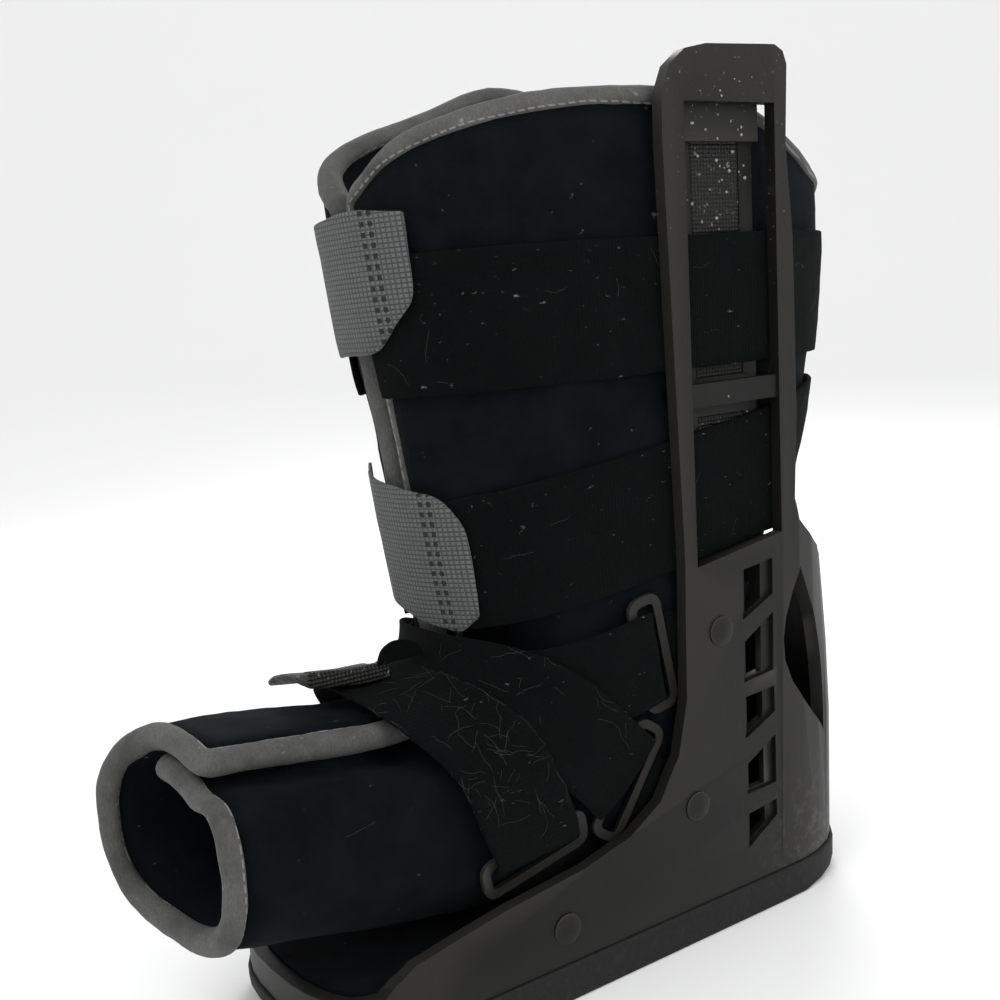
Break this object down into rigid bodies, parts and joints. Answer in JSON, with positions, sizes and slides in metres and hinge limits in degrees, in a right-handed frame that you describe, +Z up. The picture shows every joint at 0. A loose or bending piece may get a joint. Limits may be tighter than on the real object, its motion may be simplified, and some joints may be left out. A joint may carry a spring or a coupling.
{
  "type": "medical walking boot",
  "caption": "Walking boot brace: rocker-soled plastic shell with two slotted side uprights, padded liner open at leg and toe, calf straps with hook tabs and instep straps on rings.",
  "frame": {"origin": "on the sole's flat resting face, under the middle of the leg shaft", "axes": "+Z up, -Y towards the toe, +X towards the side that the picture shows"},
  "size_m": [0.129, 0.3165, 0.3415],
  "materials": {
    "shell_plastic": "moulded satin",
    "sole_rubber": "matte",
    "footbed_foam": "matte",
    "liner_fabric": "brushed loop fabric",
    "edge_binding": "stretch binding tape",
    "strap_webbing": "fuzzy loop webbing",
    "grey_tab": "basket weave",
    "hook_tape": "hook tape",
    "ring_plastic": "satin",
    "rivet_plastic": "satin"
  },
  "bodies": {
    "root": {"shell": "shell_plastic", "outsole": "sole_rubber", "footbed_pad": "footbed_foam", "liner": "liner_fabric", "liner_binding": "edge_binding", "hook_strip_upper_near": "hook_tape", "hook_strip_lower_near": "hook_tape", "strap_ring_a_near": "ring_plastic", "ring_tab_a_near": "strap_webbing", "rivet_a_near": "rivet_plastic", "strap_ring_b_near": "ring_plastic", "ring_tab_b_near": "strap_webbing", "rivet_b_near": "rivet_plastic", "strap_ring_c_near": "ring_plastic", "ring_tab_c_near": "strap_webbing", "rivet_c_near": "rivet_plastic", "hook_strip_upper_far": "hook_tape", "hook_strip_lower_far": "hook_tape", "strap_ring_a_far": "ring_plastic", "ring_tab_a_far": "strap_webbing", "rivet_a_far": "rivet_plastic", "strap_ring_b_far": "ring_plastic", "ring_tab_b_far": "strap_webbing", "rivet_b_far": "rivet_plastic", "strap_ring_c_far": "ring_plastic", "ring_tab_c_far": "strap_webbing", "rivet_c_far": "rivet_plastic", "calf_strap_upper": "strap_webbing", "calf_strap_lower": "strap_webbing", "calf_tab_upper": "grey_tab", "calf_tab_lower": "grey_tab", "ankle_strap_a": "strap_webbing", "ankle_strap_b": "strap_webbing", "ankle_strap_c": "strap_webbing", "instep_tab": "hook_tape", "instep_strap_end": "strap_webbing"}
  },
  "joints": []
}
